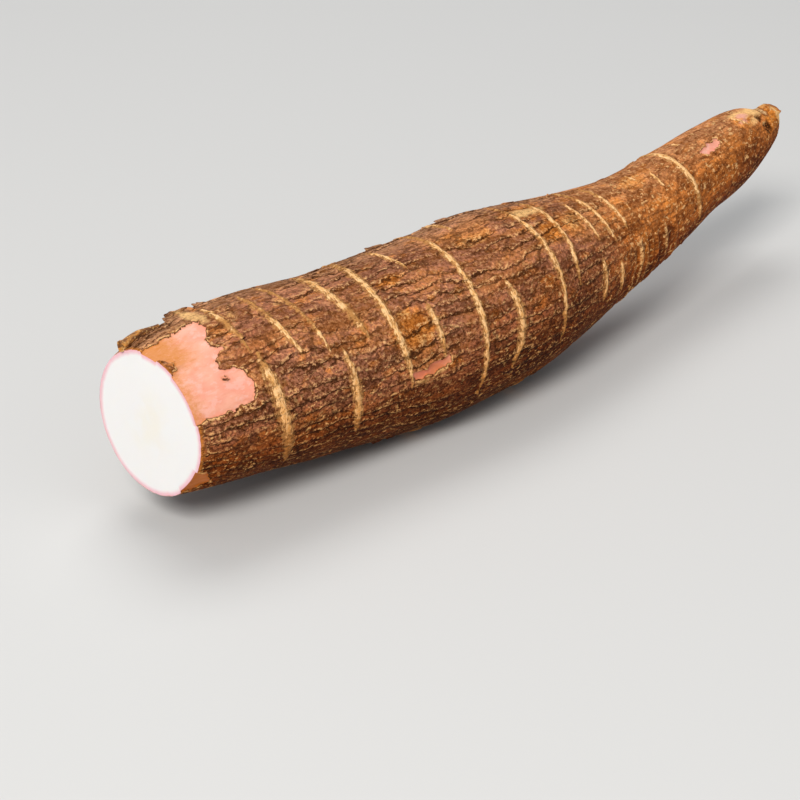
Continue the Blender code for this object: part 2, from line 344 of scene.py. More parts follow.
def outlineField(outlines, along, around, radius):
    # millimetres inside the nearest outline, below 0 outside them all
    deepest = np.full(along.shape, -30.0)
    for corners in outlines:
        middle = np.mean([corner[1] for corner in corners])
        arc = np.radians(halfTurn(around - middle)) * radius
        inside = np.zeros(along.shape, bool)
        nearest = np.full(along.shape, np.inf)
        for (a0, r0), (a1, r1) in zip(corners, corners[1:] + corners[:1]):
            y0, y1 = np.radians(r0 - middle) * radius, np.radians(r1 - middle) * radius
            crosses = (y0 > arc) != (y1 > arc)
            span = np.where(np.abs(y1 - y0) < 1e-9, 1e-9, y1 - y0)
            inside ^= crosses & (along < a0 + (arc - y0) * (a1 - a0) / span)
            t = ((along - a0) * (a1 - a0) + (arc - y0) * (y1 - y0)) / ((a1 - a0) ** 2 + (y1 - y0) ** 2)
            t = np.clip(t, 0, 1)
            nearest = np.minimum(nearest, np.hypot(along - a0 - t * (a1 - a0), arc - y0 - t * (y1 - y0)))
        deepest = np.maximum(deepest, np.where(inside, nearest, -nearest))
    return deepest


def peeledField(along, around, radius):
    peeled = outlineField(peeledPatches, along, around, radius)
    return np.minimum(peeled, -outlineField(barkScraps, along, around, radius))


def markField(spots, along, around, waver):
    field = np.zeros(along.shape)
    for at, turn, halfLength, halfWidth, strength in spots:
        far = np.hypot((along - at) / halfLength, halfTurn(around - turn) / halfWidth)
        field = np.maximum(field, strength * (1 - smoothStep(0.55, 1.25, far + 0.45 * waver)))
    return field


def crackPhase(turn, drift):
    # counts one up at each long crack
    return bark["cracks"] * turn / 360 + drift


def skinPattern(points):
    # what lies at each point of the skin, by name
    along, around, reach, outward, radius = placeOnRoot(points)
    faceFrom, faceTo = bark["snapFace"]

    # on the snapped face the fibres stand out of the break, and the pattern spreads over it
    snapped = smoothStep(*bark["snapFrom"], along) * (1 - smoothStep(faceFrom, faceTo, reach / radius))
    breaking = np.array(root["snapFacing"]) / np.linalg.norm(root["snapFacing"])
    outward = outward * (1 - snapped)[:, None] + breaking * snapped[:, None]
    toothAt, toothHalf = bark["toothRound"]
    tooth = 1 - smoothStep(0.35, 1.0, np.abs(around - toothAt) / toothHalf)
    tooth *= smoothStep(*bark["toothFrom"], along) * smoothStep(0.45, 0.85, reach / radius)
    outward = outward * (1 - tooth)[:, None] + np.array(bark["toothFacing"]) * tooth[:, None]
    outward /= np.linalg.norm(outward, axis=1)[:, None]
    spread = np.where(along > bark["snapFrom"][0], np.minimum(radius, reach / faceTo), radius)
    rod = straightened(along, around, spread)
    grain = {name: noiseAt(rod, *settings) for name, settings in bark["grain"].items()}

    creased = grain["crease"]
    for place, (comesIn, full, fades, gone) in ((along, bark["foldAlong"]), (around, bark["foldRound"])):
        creased = creased * smoothStep(comesIn, full, place) * (1 - smoothStep(fades, gone, place))
    body = 1 - smoothStep(bark["tailFrom"], bark["tailTo"], along)
    ragged = grain["ragged"] + 0.5 * grain["torn"]
    slow, quick = bark["wander"]
    pattern = {
        "along": along, "around": around, "outward": outward, "radius": radius, "rod": rod,
        "snapped": snapped, "tooth": tooth, "body": body, "fold": creased,
        "fine": grain["fine"], "ragged": ragged,
        "drift": slow * grain["slow"] + quick * grain["quick"],
        "step": bark["tailStep"] + (bark["bodyStep"] - bark["tailStep"]) * body,
        "open": 0.25 + 0.75 * smoothStep(-0.30, 0.22, grain["gather"]),
        "peel": peeledField(along, around, radius) + bark["tear"] * ragged,
    }
    pattern["scar"], pattern["glow"] = scarField(along, around, ragged)
    for kind, spots in marks.items():
        pattern[kind] = markField(spots, along, around, ragged)
    return pattern


def skinHeight(pattern):
    # how far the real skin stands off the smooth shape, in millimetres
    along, around, ragged = pattern["along"], pattern["around"], pattern["ragged"]
    phase = crackPhase(around, pattern["drift"])
    climb = phase - np.floor(phase)  # from one crack up to the edge over the next
    lip = climb * (1 - smoothStep(0.86, 1.0, climb))
    plates = pattern["step"] * pattern["open"] * (lip - 0.45)
    plates *= 0.25 + 0.75 * smoothStep(0.0, bark["trimmed"], along)
    plates *= 1 - 0.75 * smoothStep(-0.1, 0.4, pattern["scar"])
    crumbs = bark["crumbs"] * (0.4 + 0.6 * pattern["body"]) * pattern["fine"]
    welt = bark["scarHeight"] * smoothStep(-0.15, 0.7, pattern["scar"])
    covered = 1 - smoothStep(-bark["tearSlope"], bark["tearSlope"], pattern["peel"])
    height = covered * (bark["thickness"] + plates + crumbs + welt) - bark["thickness"]
    height -= bark["pitDepth"] * pattern["dark"] * covered

    # the torn end, the dip above its tooth, and the creases of the waist
    flareFrom, flareTo, flare = bark["snapFlare"]
    height += smoothStep(flareFrom, flareTo, along) * flare * (0.3 + ragged)
    dipFrom, dipTo, dip = bark["tipDip"]
    dipAt, dipHalf = bark["dipRound"]
    dipped = 1 - smoothStep(0.4, 1.0, np.abs(around - dipAt) / dipHalf)
    height -= dip * smoothStep(dipFrom, dipTo, along) * dipped
    height += bark["foldHeight"] * pattern["fold"]
    fibres = bark["fibres"] * (ragged - 0.3)
    height = height * (1 - pattern["snapped"]) + fibres * pattern["snapped"]
    return height + bark["toothReach"] * pattern["tooth"] * (1 + 0.15 * ragged)


def roughRoot():
    print("extruding the root ring by ring along its middle line")
    deselectAll()
    first, last = root["x"][0], root["x"][-1]
    stops = np.linspace(first, last, int(round((last - first) / root["ringGap"])) + 1)
    centres = [Vector(place) * mm for place in readLine(lineCentre, stops)]
    radii = readLine(lineRadius, stops) * mm
    facing = Vector(readLine(lineAhead, np.array([first]))[0])
    bpy.ops.mesh.primitive_circle_add(
        vertices=root["sides"], radius=radii[0], fill_type="NGON", location=centres[0],
        rotation=facing.to_track_quat("Z", "Y").to_euler())
    piece = bpy.context.object
    piece.name = piece.data.name = root["name"]
    bpy.ops.object.transform_apply(location=True, rotation=True, scale=True)
    editAll()
    for i in range(1, len(stops)):
        bpy.ops.mesh.extrude_region_move(TRANSFORM_OT_translate={"value": centres[i] - centres[i - 1]})
        grow = radii[i] / radii[i - 1]
        bpy.ops.transform.resize(value=(grow, grow, grow), center_override=centres[i])

    # the tail has snapped off at a slant
    snapX = np.interp(root["snapAt"], lineAlong, lineX)
    snap = Vector(readLine(lineCentre, np.array([snapX]))[0]) * mm
    bpy.ops.mesh.select_all(action="SELECT")
    bpy.ops.mesh.bisect(plane_co=snap, plane_no=root["snapFacing"], use_fill=True, clear_outer=True)
    for width, rise in root["snapRings"]:
        bpy.ops.mesh.inset(thickness=width * mm, depth=rise * mm)

    # the sawn face, with rings that hold its edge
    cutCentre, cutRadius = centres[0], radii[0]
    onPlane = 0.1 * mm
    leaveEdit()
    rim = [v.index for v in piece.data.vertices if abs((v.co - cutCentre).dot(facing)) < onPlane]
    cutFace = next(face for face in piece.data.polygons if set(face.vertices) == set(rim))
    cutFace.select = True
    bpy.ops.object.mode_set(mode="EDIT")
    bpy.ops.mesh.select_mode(type="FACE")
    for width in root["cutRings"]:
        bpy.ops.mesh.inset(thickness=width * mm)
    bpy.ops.mesh.select_mode(type="EDGE")
    leaveEdit()
    for edge in piece.data.edges:
        ends = [piece.data.vertices[i].co - cutCentre for i in edge.vertices]
        edge.select = all(abs(end.dot(facing)) < onPlane and end.length > 0.97 * cutRadius for end in ends)
    bpy.ops.object.mode_set(mode="EDIT")
    bpy.ops.transform.edge_crease(value=1.0)
    leaveFacingOut()
    return piece, cutCentre, facing


def readPoints(piece):
    points = np.zeros(len(piece.data.vertices) * 3)
    piece.data.vertices.foreach_get("co", points)
    return points.reshape(-1, 3) / mm


def writePoints(piece, points):
    piece.data.vertices.foreach_set("co", (points * mm).ravel())
    piece.data.update()


def wholeRoot():
    piece, cutCentre, facing = roughRoot()
    print("fitting the root to its solid and refining it")
    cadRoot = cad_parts[root["node"]]
    cadRoot.hide_set(False)
    applyModifier(piece, "SHRINKWRAP", target=cadRoot, wrap_method="NEAREST_SURFACEPOINT")
    applyModifier(piece, "SUBSURF", levels=root["fineness"], render_levels=root["fineness"])

    print("raising the bark on", len(piece.data.vertices), "points")
    points = readPoints(piece)
    pattern = skinPattern(points)
    fromCut = points - np.array(cutCentre) / mm
    behindSaw = fromCut @ np.array(facing)
    onCut = (behindSaw < 0.05) & (np.linalg.norm(fromCut, axis=1) < root["radius"][0] - 0.9)
    height = np.where(onCut, 0.0, skinHeight(pattern))
    points += pattern["outward"] * height[:, None]
    points[:, 2] = np.maximum(points[:, 2], 0.0)
    writePoints(piece, points)

    faces = sum(len(face.vertices) - 2 for face in piece.data.polygons)
    applyModifier(piece, "DECIMATE", ratio=root["triangles"] / faces)
    # one cut from end to end gives the unwrap a seam along the underside
    editAll()
    bpy.ops.mesh.bisect(plane_co=cutCentre, plane_no=(0, 1, 0))
    leaveEdit()

    # the saw takes a clean slice, and the face it leaves is drawn in rings that follow its rim
    editAll()
    bpy.ops.mesh.select_mode(type="EDGE")
    slicePlace = cutCentre + facing * root["sliceDepth"] * mm
    bpy.ops.mesh.bisect(plane_co=slicePlace, plane_no=facing, clear_inner=True)
    bpy.ops.mesh.edge_face_add()
    before = 1.0
    for share, sink in root["sawnRings"]:
        bpy.ops.mesh.extrude_region_move(TRANSFORM_OT_translate={"value": facing * sink * mm})
        bpy.ops.transform.resize(value=(share / before,) * 3, center_override=cutCentre)
        before = share
    bpy.ops.mesh.poke()
    bpy.ops.mesh.select_all(action="SELECT")
    bpy.ops.mesh.quads_convert_to_tris()
    leaveFacingOut()
    return piece, cutCentre, facing


def addAttribute(piece, name, values, kind="FLOAT", domain="POINT"):
    made = piece.data.attributes.new(name, kind, domain)
    field = "vector" if kind == "FLOAT_VECTOR" else "value"
    made.data.foreach_set(field, np.asarray(values, np.float32).ravel())


def cornersOf(mesh):
    # the point at each face corner
    corners = np.zeros(len(mesh.loops), int)
    mesh.loops.foreach_get("vertex_index", corners)
    return corners


def storePattern(piece, pattern, phase):
    # what the bark's finish reads; the crack phase is kept by corner, so that it can jump at the seam
    addAttribute(piece, "crackPhase", phase, domain="CORNER")
    addAttribute(piece, "rod", pattern["rod"], "FLOAT_VECTOR")
    for name in bark["fields"]:
        addAttribute(piece, name, pattern[name])


def mapRoot(piece, cutCentre, facing):
    print("mapping", len(piece.data.polygons), "faces")
    mesh = piece.data
    points = readPoints(piece)
    pattern = skinPattern(points)
    corners = cornersOf(mesh).reshape(-1, 3)
    facing = np.array(facing)
    away = points - np.array(cutCentre) / mm
    edges = points[corners[:, 1]] - points[corners[:, 0]], points[corners[:, 2]] - points[corners[:, 0]]
    normal = np.cross(*edges)
    normal /= np.maximum(np.linalg.norm(normal, axis=1), 1e-9)[:, None]
    flesh = (away @ facing)[corners].max(axis=1) < unwrap["sawnWithin"]
    flesh &= normal @ facing < -unwrap["sawnFacing"]

    # turn each corner's angle so that a face doesn't straddle the seam
    middle = points[corners].mean(axis=1)
    middleTurn = placeOnRoot(middle)[1]
    seamSide = (middle[:, 2] < readLine(lineCentre, middle[:, 0])[:, 2]) & (np.abs(middleTurn) > 90)
    left = middle[:, 1] < cutCentre.y / mm
    middleTurn = np.where(seamSide & left & (middleTurn < 0), middleTurn + 360, middleTurn)
    middleTurn = np.where(seamSide & ~left & (middleTurn > 0), middleTurn - 360, middleTurn)
    turn = pattern["around"][corners]
    turn = turn + 360 * np.round((middleTurn[:, None] - turn) / 360)

    # the skin is unrolled into a strip, and the sawn face is a disc above it
    side = np.array((0.0, 1.0, 0.0))
    up = np.cross(facing, side)
    discU, discV = (centre + (away @ way)[corners] / unwrap["discScale"]
                    for centre, way in zip(unwrap["discCentre"], (side, up)))
    u = np.where(flesh[:, None], discU, pattern["along"][corners] / unwrap["length"] + unwrap["margin"])
    v = np.where(flesh[:, None], discV, unwrap["strip"] * (0.5 + turn / unwrap["turn"]))
    for layer in list(mesh.uv_layers):
        mesh.uv_layers.remove(layer)
    layer = mesh.uv_layers.new(name="OFBake")
    layer.data.foreach_set("uv", np.stack([u, v], axis=-1).astype(np.float32).ravel())
    storePattern(piece, pattern, crackPhase(turn, pattern["drift"][corners]))

    # how far a point of the sawn face is from the middle and from the rim beside it
    reach = np.linalg.norm(away, axis=1)
    rimTurn = pattern["around"]
    onRim = np.zeros(len(points), bool)
    onRim[np.intersect1d(corners[flesh], corners[~flesh])] = True
    order = np.argsort(rimTurn[onRim])
    rimReach = np.interp(rimTurn, rimTurn[onRim][order], reach[onRim][order], period=360)
    addAttribute(piece, "reach", reach)
    addAttribute(piece, "rimGap", rimReach - reach)
    mesh.polygons.foreach_set("material_index", flesh.astype(np.int32))
    mesh.update()


def skinFrame(skin, along, around):
    # a point of the skin, with the ways outwards, on round the root and ahead along it
    farOut = 45
    at = np.array([np.interp(along, lineAlong, lineX)])
    tables = lineCentre, lineAhead, lineUp, lineSide
    centre, ahead, up, side = (Vector(readLine(table, at)[0]) for table in tables)
    turn = math.radians(around)
    outward = up * math.cos(turn) - side * math.sin(turn)
    onward = -up * math.sin(turn) - side * math.cos(turn)
    place = skin.ray_cast((centre + outward * farOut) * mm, -outward)[1]
    return place / mm, outward, onward, ahead


def sheet(settings, placeOf):
    # a thin closed sheet, with each point where placeOf puts it
    deselectAll()
    columns, rows = settings["cells"]
    bpy.ops.mesh.primitive_grid_add(x_subdivisions=columns, y_subdivisions=rows, size=1)
    piece = bpy.context.object
    piece.name = piece.data.name = settings["name"]
    share = [(vertex.co.x + 0.5, vertex.co.y + 0.5) for vertex in piece.data.vertices]
    for vertex, (lengthwise, across) in zip(piece.data.vertices, share):
        vertex.co = placeOf(lengthwise, across) * mm
    addAttribute(piece, "across", [across for _, across in share])
    applyModifier(piece, "SOLIDIFY", thickness=settings["thickness"] * mm, offset=0.0)
    applyModifier(piece, "SUBSURF", levels=1, render_levels=1)
    bpy.ops.object.mode_set(mode="EDIT")
    leaveFacingOut()
    return piece


# a strip of peel that has rolled up along the top of the rim
rimCurl = {
    "name": "rim_peel_curl",
    "along": (-0.8, 14.5),
    "round": -25.5,
    "radius": (1.75, 0.40),
    "uneven": 0.12,
    "roll": (-95.0, -335.0),  # where the roll starts on its own circle, and how far it goes round
    "tighten": 0.30,
    "ragged": 0.9,
    "thickness": 0.42,
    "cells": (30, 22),
    "smoothAngle": 50,
}


def rolledPeel(skin):
    print("rolling the peel at the rim")
    first, last = rimCurl["along"]
    wide, narrow = rimCurl["radius"]
    rollFrom, rollBy = rimCurl["roll"]
    cutEdge = 0.5  # the skin is read no nearer to the cut than this

    def placeOf(lengthwise, across):
        along = first + (last - first) * lengthwise
        along += rimCurl["ragged"] * wobble(across * 5.0, 1.0, 2.0) * (1 - lengthwise)
        place, outward, onward, ahead = skinFrame(skin, max(along, cutEdge), rimCurl["round"])
        radius = wide + (narrow - wide) * lengthwise ** 0.8
        radius *= 1 + rimCurl["uneven"] * wobble(across * 3.0, lengthwise * 2.0, 7.0)
        turn = math.radians(rollFrom + rollBy * across)
        wrap = radius * (1 - rimCurl["tighten"] * across)
        place = place + outward * radius * 0.75 + ahead * min(along - cutEdge, 0.0)
        return place + (onward * math.cos(turn) + outward * math.sin(turn)) * wrap

    return sheet(rimCurl, placeOf)


# flakes of bark that have lifted
flakes = {
    "name": "lifted_bark_flakes",
    # along at both ends, round where it is still joined and at its free edge, lift of the free edge
    "chosen": [(15.0, 25.5, -12, -29, 2.2), (27.0, 31.5, -18, -28, 1.0), (96.0, 103.0, -20, -31, 0.9),
               (131.0, 136.0, -22, -33, 0.8), (20.0, 27.0, 24, 31, 0.9), (12.5, 19.5, 72, 80, 1.0)],
    "seed": 5,
    "scattered": 46,
    "along": (10, 230),
    "round": (-150, 150),
    "length": (3.5, 9.0),
    "width": (1.6, 3.4),
    "lift": (0.35, 0.85),
    "calmer": 0.6,  # how much less they lift at the tail
    "clearOfPeel": 2.5,
    "clearOfScars": 0.6,  # in half widths of the scar
    "thickness": 0.34,
    "buried": 0.35,
    "cells": (13, 5),
    "smoothAngle": 50,
}


def liftedFlake(skin, first, last, joined, free, lift, shift):
    def placeOf(lengthwise, across):
        narrow = 0.30 + 0.70 * math.sqrt(math.sin(math.pi * min(max(lengthwise, 0.01), 0.99)))
        torn = 1 + 0.35 * wobble(lengthwise * 7.0, across, shift)
        around = joined + (free - joined) * across * narrow * torn
        along = first + (last - first) * lengthwise
        along += 0.6 * wobble(across * 3.0, lengthwise, shift + 3)
        place, outward, _, _ = skinFrame(skin, along, around)
        rise = (lift + flakes["buried"]) * across ** 1.4 * narrow * torn - flakes["buried"]
        rise += 0.25 * lift * wobble(lengthwise * 5.0, across * 3.0, shift + 9)
        return place + outward * rise

    return sheet(flakes, placeOf)


def allFlakes(skin):
    wanted = flakes["scattered"] + len(flakes["chosen"])
    print("lifting", wanted, "flakes of bark")
    draw = random.Random(flakes["seed"])
    plan = list(flakes["chosen"])
    while len(plan) < wanted:
        along, around = draw.uniform(*flakes["along"]), draw.uniform(*flakes["round"])
        length, width = draw.uniform(*flakes["length"]), draw.uniform(*flakes["width"])
        lift = draw.uniform(*flakes["lift"]) * (1 - flakes["calmer"] * along / flakes["along"][1])
        radius = np.interp(along, lineAlong, lineRadius)
        turn = math.degrees(width / radius)
        # two ends at the joined edge, and the middle of the free one
        ends = np.array([along, along + length, along + length / 2])
        turns = np.array([around, around, around + turn])
        onPeel = peeledField(ends, turns, np.full(3, radius)).max() > -flakes["clearOfPeel"]
        onScar = scarField(ends, turns, 0.0)[0].max() > -flakes["clearOfScars"]
        if not onPeel and not onScar:
            plan.append((along, along + length, around, around + turn, lift))
    made = [liftedFlake(skin, *flake, shift=2.7 * i) for i, flake in enumerate(plan)]
    deselectAll()
    for flake in made:
        flake.select_set(True)
    bpy.context.view_layer.objects.active = made[0]
    bpy.ops.object.join()
    piece = bpy.context.object
    piece.name = piece.data.name = flakes["name"]
    pattern = skinPattern(readPoints(piece))
    phase = crackPhase(pattern["around"], pattern["drift"])
    storePattern(piece, pattern, phase[cornersOf(piece.data)])
    return piece


def newMaterial(name):
    material = bpy.data.materials.new(name)
    material.use_nodes = True
    return material, material.node_tree, material.node_tree.nodes["Principled BSDF"]


def add(kind, sockets, **settings):
    # a new node, in the tree of what feeds it
    tree = next(value.id_data for value in sockets.values() if isinstance(value, bpy.types.NodeSocket))
    made = tree.nodes.new(kind)
    for key, value in settings.items():
        setattr(made, key, value)
    for key, value in sockets.items():
        if isinstance(value, bpy.types.NodeSocket):
            tree.links.new(value, made.inputs[key])
        else:
            made.inputs[key].default_value = value
    return made


def read(tree, name, output="Fac"):
    made = tree.nodes.new("ShaderNodeAttribute")
    made.attribute_name = name
    return made.outputs[output]


def objectPlace(tree):
    return tree.nodes.new("ShaderNodeTexCoord").outputs["Object"]


def calc(operation, *values):
    return add("ShaderNodeMath", dict(enumerate(values)), operation=operation).outputs[0]


def times(first, *others):
    for other in others:
        first = calc("MULTIPLY", first, other)
    return first


def plus(first, *others):
    for other in others:
        first = calc("ADD", first, other)
    return first


def swing(pattern, reach):
    # the pattern as a change either way, by up to half the reach
    return times(calc("SUBTRACT", pattern, 0.5), reach)


def blend(first, second, share):
    return plus(times(first, share), times(second, 1 - share))


def ramp(value, low, high, start=0.0, end=1.0):
    sockets = {0: value, 1: low, 2: high, 3: start, 4: end}
    return add("ShaderNodeMapRange", sockets, interpolation_type="SMOOTHSTEP").outputs[0]


def mix(share, first, second):
    return add("ShaderNodeMix", {0: share, 6: first, 7: second}, data_type="RGBA").outputs[2]


def lay(under, tone, *shares):
    # a tone laid over another, as strongly as the product of the shares
    return mix(times(*shares), under, tone)


def tint(tone, by):
    return add("ShaderNodeVectorMath", {0: tone, 1: by}, operation="MULTIPLY").outputs[0]


def scaled(tone, amount):
    return add("ShaderNodeVectorMath", {0: tone, "Scale": amount}, operation="SCALE").outputs[0]


def resized(place, sizes, shift=0.0):
    scale = tuple(1 / size for size in sizes)
    return add("ShaderNodeMapping", {"Vector": place, "Location": (shift,) * 3, "Scale": scale}).outputs[0]


def cloud(place, sizes, detail=3.0, roughness=0.55, shift=0.0):
    place = resized(place, sizes, shift)
    sockets = {"Vector": place, "Scale": 1.0, "Detail": detail, "Roughness": roughness}
    return add("ShaderNodeTexNoise", sockets).outputs[0]


def finish(shader, colour, height, strength, distance):
    tree = shader.id_data
    tree.links.new(colour, shader.inputs["Base Color"])
    bump = add("ShaderNodeBump", {"Height": height, "Strength": strength, "Distance": distance * mm})
    tree.links.new(bump.outputs[0], shader.inputs["Normal"])


skinColours = {
    "brown": (0.385, 0.143, 0.047, 1),
    "purple": (0.318, 0.123, 0.064, 1),
    # grey bark on top, with a painted sheen
    "greyAndSheen": (0.400, 0.200, 0.105, 1),
    "tail": (0.480, 0.152, 0.030, 1),
    "tailTop": (0.470, 0.205, 0.090, 1),
    "tailDark": (0.300, 0.090, 0.018, 1),
    "orange": (0.570, 0.188, 0.028, 1),
    "tan": (0.800, 0.430, 0.150, 1),
    "cream": (0.980, 0.590, 0.240, 1),
    "fleck": (0.900, 0.520, 0.220, 1),
    # the flecks in painted shade, on the lower flanks
    "shadedFleck": (0.840, 0.430, 0.140, 1),
    # painted shade in cracks, pits and under the torn edge, deeper underneath
    "recessShade": (0.060, 0.015, 0.002, 1),
    "deepRecessShade": (0.020, 0.004, 0.001, 1),
    "cork": (0.990, 0.610, 0.290, 1),
    "warmCork": (0.900, 0.450, 0.140, 1),
    "dullCork": (0.540, 0.250, 0.075, 1),
    "fibre": (0.480, 0.240, 0.090, 1),
    "dryFlesh": (0.860, 0.560, 0.290, 1),
    "peel": (0.810, 0.320, 0.225, 1),
    "peelPale": (0.850, 0.410, 0.300, 1),
    "peelBlush": (0.840, 0.470, 0.390, 1),
    "peelRed": (0.730, 0.220, 0.135, 1),
    "peelOrange": (0.640, 0.250, 0.080, 1),
    # what the tones under them are multiplied by
    "clean": (1, 1, 1, 1),
    "hollowShade": (1.0, 0.80, 0.55, 1),  # painted shade in small hollows
    "flankShade": (0.44, 0.25, 0.085, 1),  # painted shade on the lower flanks
    "undersideShade": (0.30, 0.18, 0.08, 1),  # painted shade underneath
    "lowPaleShade": (0.84, 0.66, 0.46, 1),  # painted shade on pale things on the lower flanks
    # painted shade in the creases and in shadowed patches
    "dirt": (0.50, 0.34, 0.19, 1),
}

skinPaint = {
    # patterns: size lengthwise and crosswise, detail, roughness, and where in the noise each one is read
    "grain": {
        "scallop": ((2.6, 1.6, 1.6), 3.0, 0.60, 4.0),
        "crumb": ((1.05, 0.85, 0.85), 4.0, 0.70, 15.0),
        "hue": ((2.6, 1.8, 1.8), 3.0, 0.65, 63.0),
        "broad": ((30, 13, 13), 3.0, 0.55, 21.0),
        "patchy": ((9, 5, 5), 4.0, 0.60, 27.0),
        "strands": ((0.45, 1.7, 1.7), 3.0, 0.65, 71.0),  # across the root, in its scars
        "breakUp": ((9, 3.2, 3.2), 2.0, 0.50, 33.0),  # where long cracks are interrupted
        "speckle": ((1.8, 1.3, 1.3), 2.0, 0.60, 47.0),
        "lenticel": ((3.0, 2.3, 2.3), 2.0, 0.60, 52.0),
        "blotch": ((3.2, 2.2, 2.2), 4.0, 0.65, 103.0),  # on the bare peel
        "streak": ((5, 0.8, 0.8), 2.0, 0.50, 97.0),
        "thread": ((4.0, 0.45, 0.45), 2.0, 0.60, 88.0),  # fibres of the snapped end
    },
    # plates of bark: their size, and how far and how finely their edges are bent
    "plateSize": (14, 4.2, 4.2),
    "plateBend": 4.2,
    "plateBendScale": 0.28,
    "barkRoughness": (0.78, 0.78, 0.78, 1),
    "peelRoughness": (0.50, 0.50, 0.50, 1),
    "specular": 0.07,
    "relief": 0.9,
}


def skinFields(tree):
    # what is where on the skin, each from 0 to 1 unless it says otherwise
    at = SimpleNamespace(**{name: read(tree, name) for name in bark["fields"]})
    at.rod = read(tree, "rod", "Vector")
    for name, settings in skinPaint["grain"].items():
        setattr(at, name, cloud(at.rod, *settings))
    at.turned = calc("ABSOLUTE", at.around)  # degrees from the top, either way
    at.lowFlank = ramp(at.turned, 38, 88)
    at.under = ramp(at.turned, 58, 118)
    # painted shade on pale marks, scars and peel on the lower flanks
    at.lowTone = mix(at.under, skinColours["clean"], skinColours["lowPaleShade"])
    # flecks darker on the lower flanks, as painted shade
    at.fleck = mix(at.under, skinColours["fleck"], skinColours["shadedFleck"])

    # plates of bark, each with a tone of its own, short cracks round it darkened with painted shade, and
    # pale lips that also carry a painted highlight
    bend = add("ShaderNodeTexNoise", {"Vector": at.rod, "Scale": skinPaint["plateBendScale"], "Detail": 3.0,
                                      "Roughness": 0.65}).outputs["Color"]
    bend = scaled(bend, skinPaint["plateBend"])
    bent = add("ShaderNodeVectorMath", {0: at.rod, 1: bend}, operation="ADD").outputs[0]
    cell = {"Vector": resized(bent, skinPaint["plateSize"]), "Scale": 1.0}
    tone = add("ShaderNodeTexVoronoi", cell).outputs["Color"]
    at.plateTone = add("ShaderNodeSeparateColor", {0: tone}).outputs[0]
    plateEdge = add("ShaderNodeTexVoronoi", cell, feature="DISTANCE_TO_EDGE").outputs[0]
    at.hair = times(ramp(plateEdge, 0.085, 0.015), ramp(at.patchy, 0.38, 0.50),
                    ramp(at.body, 0, 1, 0.30, 0.70))
    at.plateLip = times(ramp(plateEdge, 0.07, 0.11), ramp(plateEdge, 0.20, 0.13),
                        ramp(at.crumb, 0.50, 0.60), ramp(at.hue, 0.46, 0.56))

    # long cracks: a line of painted shadow under each flake's edge, with pale crumbs and a painted
    # highlight on its lip
    at.climb = calc("FRACT", plus(read(tree, "crackPhase"), swing(at.scallop, 0.95)))
    at.strength = times(at.open, ramp(at.body, 0, 1, 0.25, 1.0))
    near = calc("MINIMUM", at.climb, calc("SUBTRACT", 1.0, at.climb))
    at.line = times(ramp(near, 0.12, 0.03), at.strength, ramp(at.breakUp, 0.31, 0.43))
    at.lip = times(ramp(at.climb, 0.54, 0.84), ramp(at.climb, 0.97, 0.90), at.strength,
                   ramp(at.crumb, 0.48, 0.60, 0.0, 0.8))

    # corky scars, of pale strands that run across the root
    at.scarEdge = plus(at.scar, swing(at.strands, 3.2), swing(at.crumb, 0.8), swing(at.scallop, 2.0))
    at.onScar = ramp(at.scarEdge, 0.05, 0.35)

    # the torn edge of the bark, in millimetres into the bare peel, and the snapped end
    at.torn = plus(at.peel, swing(at.crumb, 1.1))
    at.bare = ramp(at.torn, -0.07, 0.07)
    at.onBreak = ramp(plus(at.snapped, swing(at.crumb, 0.8)), 0.30, 0.45)
    return at


def baseTones(at):
    # brown bark, greyer on top with a painted sheen there, redder towards the tail, darker in small hollows
    # and underneath with painted shade
    colour = skinColours
    skin = mix(ramp(blend(at.broad, at.hue, 0.6), 0.42, 0.54), colour["brown"], colour["purple"])
    skin = lay(skin, colour["greyAndSheen"], ramp(at.around, 12, -18), 0.8)
    tail = mix(ramp(blend(at.patchy, at.hue, 0.6), 0.40, 0.58), colour["tailDark"], colour["tail"])
    tail = lay(tail, colour["tailTop"], ramp(at.around, 60, -5), ramp(at.hue, 0.38, 0.60, 0.4, 0.9))
    skin = mix(ramp(at.body, 0.75, 0.15), skin, tail)
    skin = lay(skin, colour["orange"], ramp(at.patchy, 0.53, 0.70), 0.55)
    skin = lay(skin, colour["orange"], ramp(at.hue, 0.57, 0.68), 0.30)
    skin = lay(skin, colour["orange"], at.orange)
    # darker where the crumbly relief sinks, as painted shade, more so on the lower flanks, times a tone for
    # each plate and patch
    toneAndShade = times(ramp(at.crumb, 0.32, 0.62, -0.45, 0.30), ramp(at.body, 0, 1, 0.55, 1.0))
    toneAndShade = plus(times(toneAndShade, plus(1.0, times(at.lowFlank, 0.7))), 1.0)
    toneAndShade = times(toneAndShade, ramp(at.plateTone, 0, 1, 0.72, 1.28), ramp(at.hue, 0.35, 0.60, 0.78, 1.18))
    skin = scaled(skin, toneAndShade)
    skin = tint(skin, mix(ramp(toneAndShade, 0.45, 1.0), colour["hollowShade"], colour["clean"]))
    # painted shade on the lower flanks and, deeper, underneath
    flankShade = mix(at.under, colour["clean"], colour["flankShade"])
    skin = tint(skin, mix(ramp(at.turned, 86, 140), flankShade, colour["undersideShade"]))
    # painted shade in the creases of the waist and in shadowed patches
    creaseShade = times(ramp(at.fold, -0.05, -0.40), 0.7)
    skin = tint(skin, mix(calc("MAXIMUM", at.dirt, creaseShade), colour["clean"], colour["dirt"]))
    return lay(skin, colour["tan"], at.pale, ramp(at.crumb, 0.42, 0.60))


